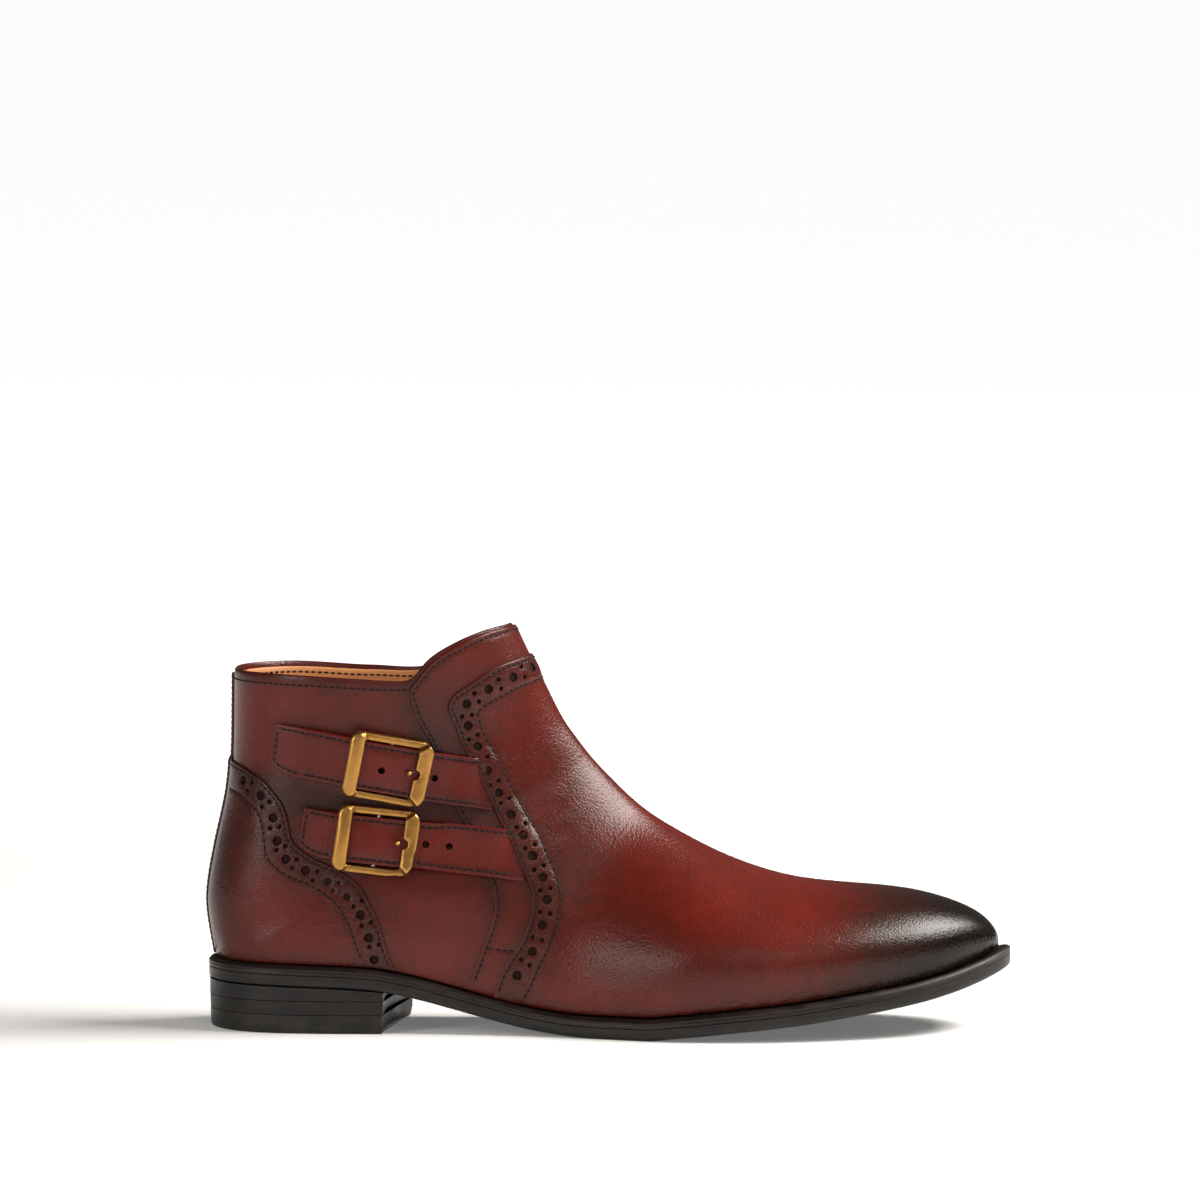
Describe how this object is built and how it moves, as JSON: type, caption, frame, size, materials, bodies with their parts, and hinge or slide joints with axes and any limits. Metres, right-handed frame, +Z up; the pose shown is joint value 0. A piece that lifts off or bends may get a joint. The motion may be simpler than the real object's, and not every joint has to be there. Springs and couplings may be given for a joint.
{
  "type": "jodhpur boot",
  "caption": "Ankle boot with an almond toe, a stacked heel, punched margins and buckled straps that wrap over a front flap; hollow and open at the collar.",
  "frame": {"origin": "on the floor, under the middle of the boot's bounding box", "axes": "+X from heel to toe, +Y from the outer side with the buckles to the inner side, +Z up from the floor"},
  "size_m": [0.3049, 0.1013, 0.1532],
  "materials": {
    "upper_leather": "smooth burgundy calf leather, softly polished",
    "vamp_leather": "smooth burgundy calf leather, burnished dark at the seams and toe",
    "strap_leather": "smooth burgundy calf leather with burnished edges",
    "insole_leather": "matt tan lining leather",
    "sole_leather": "dark dyed and waxed sole leather",
    "heel_rubber": "matt black heel rubber",
    "antique_brass": "brushed antique brass with brown patina",
    "plated_steel": "dull plated steel"
  },
  "bodies": {
    "root": {"outsole": "sole_leather", "welt": "sole_leather", "heel_lift_upper": "sole_leather", "heel_lift_lower": "sole_leather", "heel_top_lift": "heel_rubber", "insole": "insole_leather", "upper": "upper_leather", "vamp": "vamp_leather", "counter": "vamp_leather", "front_flap": "upper_leather", "strap_upper": "strap_leather", "strap_lower": "strap_leather", "buckle_frame_upper": "antique_brass", "buckle_frame_lower": "antique_brass", "buckle_prong_upper": "antique_brass", "buckle_prong_lower": "antique_brass", "buckle_pin_upper": "plated_steel", "buckle_pin_lower": "plated_steel"}
  },
  "joints": []
}
